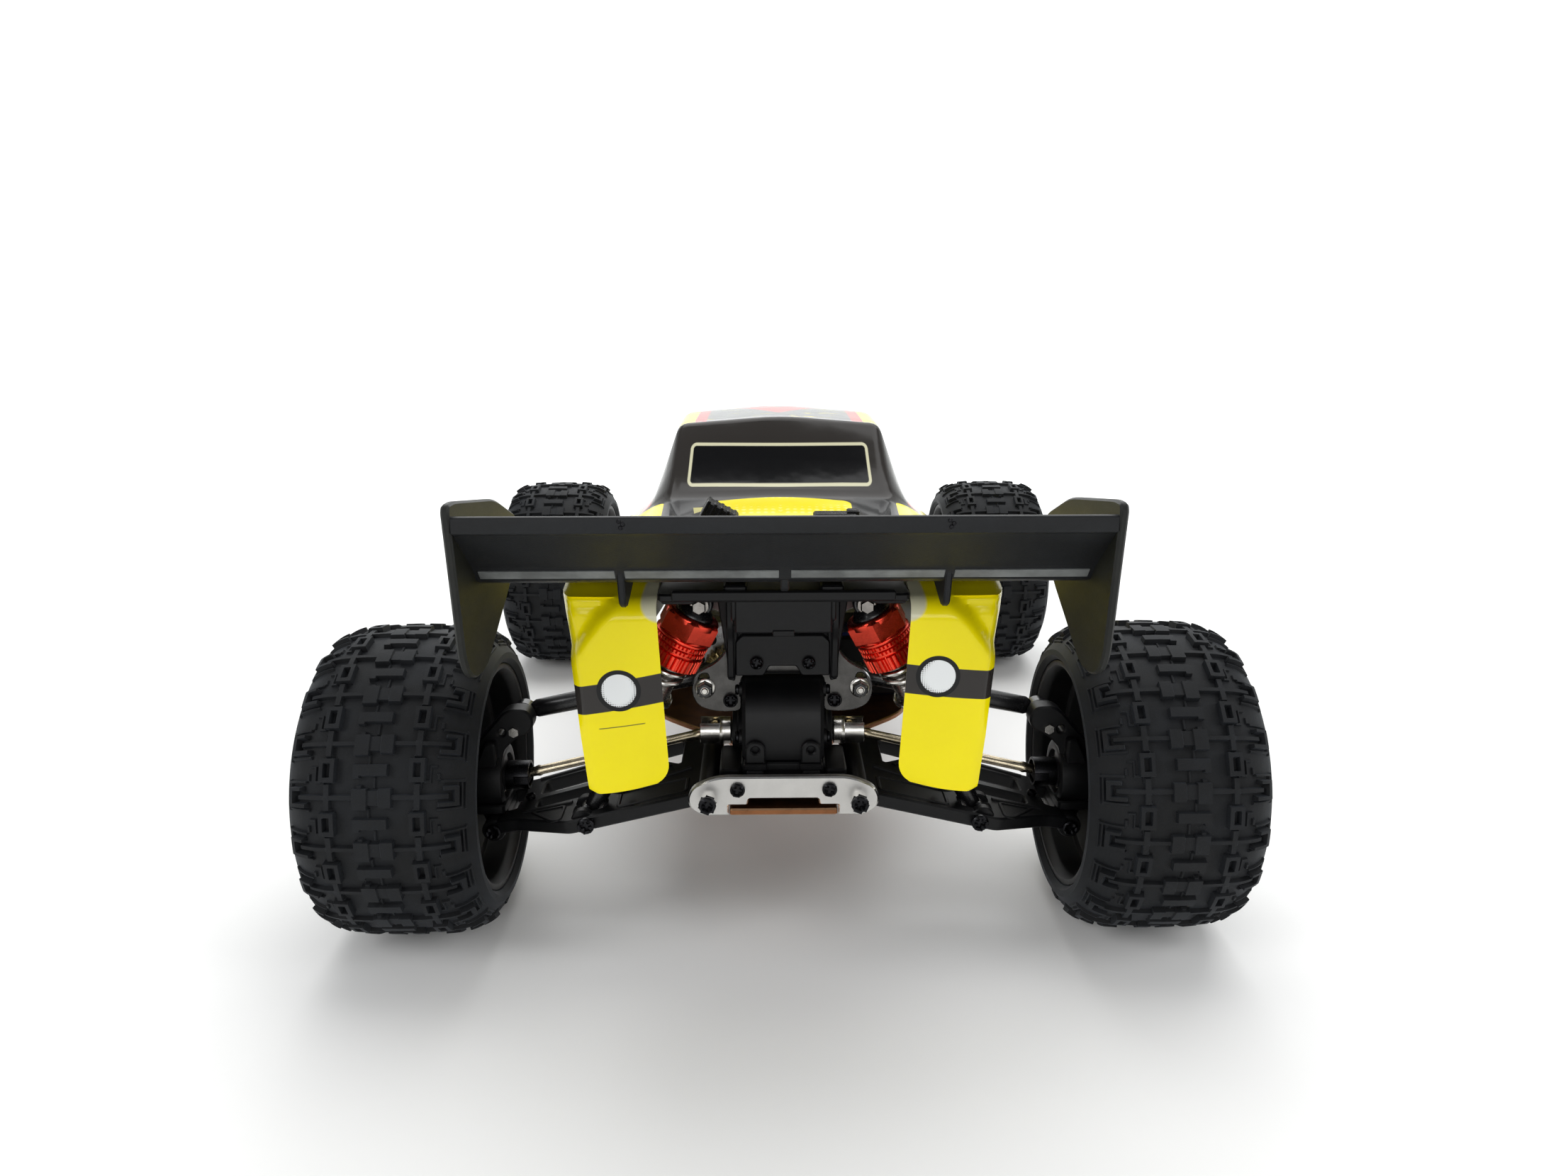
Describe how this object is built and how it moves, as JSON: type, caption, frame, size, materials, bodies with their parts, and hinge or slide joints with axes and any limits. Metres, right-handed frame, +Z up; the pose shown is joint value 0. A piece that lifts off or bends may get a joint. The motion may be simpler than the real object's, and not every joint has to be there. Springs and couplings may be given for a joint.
{
  "type": "radio-controlled truggy",
  "caption": "All-wheel-drive radio-controlled model truggy with block-tread tyres, independent coil-over suspension, steering, a gloss painted shell and a high rear wing.",
  "frame": {"origin": "on the ground under the middle of the car's overall box", "axes": "+Y forward, along the length; +X to the car's right; +Z up, square to the ground"},
  "size_m": [0.273, 0.375, 0.1505],
  "materials": {
    "nylon": "fibre-filled black nylon, satin",
    "rubber": "matte black rubber with a faint blue-grey sheen",
    "plated_steel": "satin plated steel",
    "graphite_alloy": "dark grey anodised alloy plate",
    "copper_alloy": "copper anodised alloy",
    "red_alloy": "bright red anodised, knurled",
    "shell_paint": "gloss painted polycarbonate: yellow, dark warm grey and black",
    "wing_plastic": "matte black moulded plastic",
    "battery_wrap": "shrink-wrapped cell pack",
    "motor_can": "turned can",
    "case_black": "black moulded cases and gears"
  },
  "bodies": {
    "chassis": {"chassis_plate": "copper_alloy", "rear_gearbox": "nylon", "front_gearbox": "nylon", "rear_shock_tower": "graphite_alloy", "front_shock_tower": "graphite_alloy", "rear_hinge_plate": "plated_steel", "front_bumper": "nylon", "motor": "motor_can", "battery": "battery_wrap", "speed_controller": "case_black", "servo": "case_black", "wing_mount": "nylon", "wing": "wing_plastic", "body_shell": "shell_paint"},
    "centre_shaft": {"centre_shaft": "case_black"},
    "motor_pinion": {"motor_pinion": "plated_steel"},
    "servo_saver": {"servo_saver": "nylon"},
    "steering_link": {"steering_link": "plated_steel"},
    "rear_left_arm": {"rear_left_arm": "nylon"},
    "rear_left_hub_carrier": {"rear_left_hub_carrier": "nylon"},
    "rear_left_wheel": {"rear_left_rim": "nylon", "rear_left_tyre": "rubber"},
    "rear_left_camber_link": {"rear_left_camber_link": "nylon"},
    "rear_left_drive_shaft": {"rear_left_drive_shaft": "plated_steel"},
    "rear_left_outdrive": {"rear_left_outdrive": "plated_steel"},
    "rear_left_shock_body": {"rear_left_shock_body": "red_alloy", "rear_left_shock_spring": "plated_steel"},
    "rear_left_shock_rod": {"rear_left_shock_rod": "plated_steel"},
    "rear_right_arm": {"rear_right_arm": "nylon"},
    "rear_right_hub_carrier": {"rear_right_hub_carrier": "nylon"},
    "rear_right_wheel": {"rear_right_rim": "nylon", "rear_right_tyre": "rubber"},
    "rear_right_camber_link": {"rear_right_camber_link": "nylon"},
    "rear_right_drive_shaft": {"rear_right_drive_shaft": "plated_steel"},
    "rear_right_outdrive": {"rear_right_outdrive": "plated_steel"},
    "rear_right_shock_body": {"rear_right_shock_body": "red_alloy", "rear_right_shock_spring": "plated_steel"},
    "rear_right_shock_rod": {"rear_right_shock_rod": "plated_steel"},
    "front_left_arm": {"front_left_arm": "nylon"},
    "front_left_hub_carrier": {"front_left_hub_carrier": "nylon"},
    "front_left_knuckle": {"front_left_knuckle": "nylon"},
    "front_left_wheel": {"front_left_rim": "nylon", "front_left_tyre": "rubber"},
    "front_left_camber_link": {"front_left_camber_link": "nylon"},
    "front_left_drive_shaft": {"front_left_drive_shaft": "plated_steel"},
    "front_left_shock_body": {"front_left_shock_body": "red_alloy", "front_left_shock_spring": "plated_steel"},
    "front_left_shock_rod": {"front_left_shock_rod": "plated_steel"},
    "front_left_tie_rod": {"front_left_tie_rod": "nylon"},
    "front_right_arm": {"front_right_arm": "nylon"},
    "front_right_hub_carrier": {"front_right_hub_carrier": "nylon"},
    "front_right_knuckle": {"front_right_knuckle": "nylon"},
    "front_right_wheel": {"front_right_rim": "nylon", "front_right_tyre": "rubber"},
    "front_right_camber_link": {"front_right_camber_link": "nylon"},
    "front_right_drive_shaft": {"front_right_drive_shaft": "plated_steel"},
    "front_right_shock_body": {"front_right_shock_body": "red_alloy", "front_right_shock_spring": "plated_steel"},
    "front_right_shock_rod": {"front_right_shock_rod": "plated_steel"},
    "front_right_tie_rod": {"front_right_tie_rod": "nylon"}
  },
  "joints": [
    {"name": "rear_left_arm_swing", "type": "hinge", "parent": "chassis", "child": "rear_left_arm", "pos_m": [-0.0222, -0.118, 0.0505], "axis": [0, 1, 0], "range_deg": [-2, 20], "stiffness_Nm_per_rad": 2.4, "springref_deg": -6.3},
    {"name": "rear_left_hub_tilt", "type": "hinge", "parent": "rear_left_arm", "child": "rear_left_hub_carrier", "pos_m": [-0.088, -0.118, 0.0344], "axis": [0, 1, 0], "range_deg": [-16.36, 1.91]},
    {"name": "rear_left_wheel_spin", "type": "hinge", "parent": "rear_left_hub_carrier", "child": "rear_left_wheel", "pos_m": [-0.0816, -0.118, 0.047], "axis": [1, 0, 0], "continuous": true},
    {"name": "rear_left_camber_link_swing", "type": "hinge", "parent": "chassis", "child": "rear_left_camber_link", "pos_m": [-0.0235, -0.114, 0.0785], "axis": [0, 1, 0], "range_deg": [-2.6, 23.25]},
    {"name": "rear_left_drive_shaft_swing", "type": "hinge", "parent": "chassis", "child": "rear_left_drive_shaft", "pos_m": [-0.0207, -0.118, 0.0616], "axis": [0, 1, 0], "range_deg": [-2.41, 21.4]},
    {"name": "rear_left_outdrive_spin", "type": "hinge", "parent": "chassis", "child": "rear_left_outdrive", "pos_m": [-0.0157, -0.118, 0.0616], "axis": [1, 0, 0], "continuous": true},
    {"name": "rear_left_shock_swing", "type": "hinge", "parent": "chassis", "child": "rear_left_shock_body", "pos_m": [-0.0235, -0.1356, 0.108], "axis": [0, 1, 0], "range_deg": [-0.88, 6.13]},
    {"name": "rear_left_shock_stroke", "type": "slide", "parent": "rear_left_shock_body", "child": "rear_left_shock_rod", "axis": [0.4635, 0, 0.8861], "range_m": [-0.00124, 0.01059], "deforming": ["rear_left_shock_spring"]},
    {"name": "rear_right_arm_swing", "type": "hinge", "parent": "chassis", "child": "rear_right_arm", "pos_m": [0.0222, -0.118, 0.0505], "axis": [0, -1, 0], "range_deg": [-2, 20], "stiffness_Nm_per_rad": 2.4, "springref_deg": -6.3},
    {"name": "rear_right_hub_tilt", "type": "hinge", "parent": "rear_right_arm", "child": "rear_right_hub_carrier", "pos_m": [0.088, -0.118, 0.0344], "axis": [0, -1, 0], "range_deg": [-16.36, 1.91]},
    {"name": "rear_right_wheel_spin", "type": "hinge", "parent": "rear_right_hub_carrier", "child": "rear_right_wheel", "pos_m": [0.0816, -0.118, 0.047], "axis": [1, 0, 0], "continuous": true},
    {"name": "rear_right_camber_link_swing", "type": "hinge", "parent": "chassis", "child": "rear_right_camber_link", "pos_m": [0.0235, -0.114, 0.0785], "axis": [0, -1, 0], "range_deg": [-2.6, 23.25]},
    {"name": "rear_right_drive_shaft_swing", "type": "hinge", "parent": "chassis", "child": "rear_right_drive_shaft", "pos_m": [0.0207, -0.118, 0.0616], "axis": [0, -1, 0], "range_deg": [-2.41, 21.4]},
    {"name": "rear_right_outdrive_spin", "type": "hinge", "parent": "chassis", "child": "rear_right_outdrive", "pos_m": [0.0157, -0.118, 0.0616], "axis": [1, 0, 0], "continuous": true},
    {"name": "rear_right_shock_swing", "type": "hinge", "parent": "chassis", "child": "rear_right_shock_body", "pos_m": [0.0235, -0.1356, 0.108], "axis": [0, -1, 0], "range_deg": [-0.88, 6.13]},
    {"name": "rear_right_shock_stroke", "type": "slide", "parent": "rear_right_shock_body", "child": "rear_right_shock_rod", "axis": [-0.4635, 0, 0.8861], "range_m": [-0.00124, 0.01059], "deforming": ["rear_right_shock_spring"]},
    {"name": "front_left_arm_swing", "type": "hinge", "parent": "chassis", "child": "front_left_arm", "pos_m": [-0.0222, 0.132, 0.0505], "axis": [0, 1, 0], "range_deg": [-2, 20], "stiffness_Nm_per_rad": 2.4, "springref_deg": -6.3},
    {"name": "front_left_hub_tilt", "type": "hinge", "parent": "front_left_arm", "child": "front_left_hub_carrier", "pos_m": [-0.078, 0.132, 0.03685], "axis": [0, 1, 0], "range_deg": [-17.44, 2.01]},
    {"name": "front_left_steer", "type": "hinge", "parent": "front_left_hub_carrier", "child": "front_left_knuckle", "pos_m": [-0.0855, 0.132, 0.047], "axis": [0, 0, 1], "range_deg": [-25, 25]},
    {"name": "front_left_wheel_spin", "type": "hinge", "parent": "front_left_knuckle", "child": "front_left_wheel", "pos_m": [-0.0855, 0.132, 0.047], "axis": [1, 0, 0], "continuous": true},
    {"name": "front_left_camber_link_swing", "type": "hinge", "parent": "chassis", "child": "front_left_camber_link", "pos_m": [-0.0235, 0.128, 0.0785], "axis": [0, 1, 0], "range_deg": [-2.33, 20.65]},
    {"name": "front_left_drive_shaft_swing", "type": "hinge", "parent": "chassis", "child": "front_left_drive_shaft", "pos_m": [-0.0207, 0.132, 0.0616], "axis": [0, 1, 0], "range_deg": [-2.07, 18]},
    {"name": "front_left_shock_swing", "type": "hinge", "parent": "chassis", "child": "front_left_shock_body", "pos_m": [-0.0235, 0.1496, 0.108], "axis": [0, 1, 0], "range_deg": [-0.88, 6.13]},
    {"name": "front_left_shock_stroke", "type": "slide", "parent": "front_left_shock_body", "child": "front_left_shock_rod", "axis": [0.4635, 0, 0.8861], "range_m": [-0.00124, 0.01059], "deforming": ["front_left_shock_spring"]},
    {"name": "front_left_tie_rod_slide", "type": "slide", "parent": "front_left_arm", "child": "front_left_tie_rod", "axis": [1, 0, 0], "range_m": [-0.0112, 0.0112]},
    {"name": "front_right_arm_swing", "type": "hinge", "parent": "chassis", "child": "front_right_arm", "pos_m": [0.0222, 0.132, 0.0505], "axis": [0, -1, 0], "range_deg": [-2, 20], "stiffness_Nm_per_rad": 2.4, "springref_deg": -6.3},
    {"name": "front_right_hub_tilt", "type": "hinge", "parent": "front_right_arm", "child": "front_right_hub_carrier", "pos_m": [0.078, 0.132, 0.03685], "axis": [0, -1, 0], "range_deg": [-17.44, 2.01]},
    {"name": "front_right_steer", "type": "hinge", "parent": "front_right_hub_carrier", "child": "front_right_knuckle", "pos_m": [0.0855, 0.132, 0.047], "axis": [0, 0, 1], "range_deg": [-25.2, 25.2]},
    {"name": "front_right_wheel_spin", "type": "hinge", "parent": "front_right_knuckle", "child": "front_right_wheel", "pos_m": [0.0855, 0.132, 0.047], "axis": [1, 0, 0], "continuous": true},
    {"name": "front_right_camber_link_swing", "type": "hinge", "parent": "chassis", "child": "front_right_camber_link", "pos_m": [0.0235, 0.128, 0.0785], "axis": [0, -1, 0], "range_deg": [-2.33, 20.65]},
    {"name": "front_right_drive_shaft_swing", "type": "hinge", "parent": "chassis", "child": "front_right_drive_shaft", "pos_m": [0.0207, 0.132, 0.0616], "axis": [0, -1, 0], "range_deg": [-2.07, 18]},
    {"name": "front_right_shock_swing", "type": "hinge", "parent": "chassis", "child": "front_right_shock_body", "pos_m": [0.0235, 0.1496, 0.108], "axis": [0, -1, 0], "range_deg": [-0.88, 6.13]},
    {"name": "front_right_shock_stroke", "type": "slide", "parent": "front_right_shock_body", "child": "front_right_shock_rod", "axis": [-0.4635, 0, 0.8861], "range_m": [-0.00124, 0.01059], "deforming": ["front_right_shock_spring"]},
    {"name": "front_right_tie_rod_slide", "type": "slide", "parent": "front_right_arm", "child": "front_right_tie_rod", "axis": [1, 0, 0], "range_m": [-0.0112, 0.0112]},
    {"name": "steering_link_slide", "type": "slide", "parent": "chassis", "child": "steering_link", "axis": [1, 0, 0], "range_m": [-0.0112, 0.0112]},
    {"name": "servo_saver_turn", "type": "hinge", "parent": "chassis", "child": "servo_saver", "pos_m": [-0.008, 0.086, 0.05], "axis": [0, 0, 1], "range_deg": [-34, 34]},
    {"name": "centre_shaft_spin", "type": "hinge", "parent": "chassis", "child": "centre_shaft", "pos_m": [0, 0, 0.064], "axis": [0, 1, 0], "continuous": true},
    {"name": "motor_pinion_spin", "type": "hinge", "parent": "chassis", "child": "motor_pinion", "pos_m": [-0.0204, -0.066, 0.064], "axis": [0, 1, 0], "continuous": true}
  ],
  "couplings": [
    {"joint": "rear_left_hub_tilt", "follows": "rear_left_arm_swing", "ratio": -0.8032},
    {"joint": "rear_left_camber_link_swing", "follows": "rear_left_arm_swing", "ratio": 1.1477},
    {"joint": "rear_left_drive_shaft_swing", "follows": "rear_left_arm_swing", "ratio": 1.055},
    {"joint": "rear_left_outdrive_spin", "follows": "rear_left_wheel_spin", "ratio": 1},
    {"joint": "rear_left_shock_swing", "follows": "rear_left_arm_swing", "ratio": 0.2914},
    {"joint": "rear_left_shock_stroke", "follows": "rear_left_arm_swing", "m_per_rad": 0.02976},
    {"joint": "rear_right_hub_tilt", "follows": "rear_right_arm_swing", "ratio": -0.8032},
    {"joint": "rear_right_camber_link_swing", "follows": "rear_right_arm_swing", "ratio": 1.1477},
    {"joint": "rear_right_drive_shaft_swing", "follows": "rear_right_arm_swing", "ratio": 1.055},
    {"joint": "rear_right_outdrive_spin", "follows": "rear_right_wheel_spin", "ratio": 1},
    {"joint": "rear_right_shock_swing", "follows": "rear_right_arm_swing", "ratio": 0.2914},
    {"joint": "rear_right_shock_stroke", "follows": "rear_right_arm_swing", "m_per_rad": 0.02976},
    {"joint": "front_left_hub_tilt", "follows": "front_left_arm_swing", "ratio": -0.857},
    {"joint": "front_left_camber_link_swing", "follows": "front_left_arm_swing", "ratio": 1.0173},
    {"joint": "front_left_drive_shaft_swing", "follows": "front_left_arm_swing", "ratio": 0.885},
    {"joint": "front_left_shock_swing", "follows": "front_left_arm_swing", "ratio": 0.2914},
    {"joint": "front_left_shock_stroke", "follows": "front_left_arm_swing", "m_per_rad": 0.02976},
    {"joint": "front_left_tie_rod_slide", "follows": "front_left_steer", "m_per_rad": 0.0252},
    {"joint": "front_right_hub_tilt", "follows": "front_right_arm_swing", "ratio": -0.857},
    {"joint": "front_right_steer", "follows": "front_left_steer", "ratio": 1},
    {"joint": "front_right_camber_link_swing", "follows": "front_right_arm_swing", "ratio": 1.0173},
    {"joint": "front_right_drive_shaft_swing", "follows": "front_right_arm_swing", "ratio": 0.885},
    {"joint": "front_right_shock_swing", "follows": "front_right_arm_swing", "ratio": 0.2914},
    {"joint": "front_right_shock_stroke", "follows": "front_right_arm_swing", "m_per_rad": 0.02976},
    {"joint": "front_right_tie_rod_slide", "follows": "front_left_steer", "m_per_rad": 0.0252},
    {"joint": "steering_link_slide", "follows": "front_left_steer", "m_per_rad": 0.0252},
    {"joint": "servo_saver_turn", "follows": "front_left_steer", "ratio": -1.335},
    {"joint": "motor_pinion_spin", "follows": "centre_shaft_spin", "ratio": -2}
  ]
}
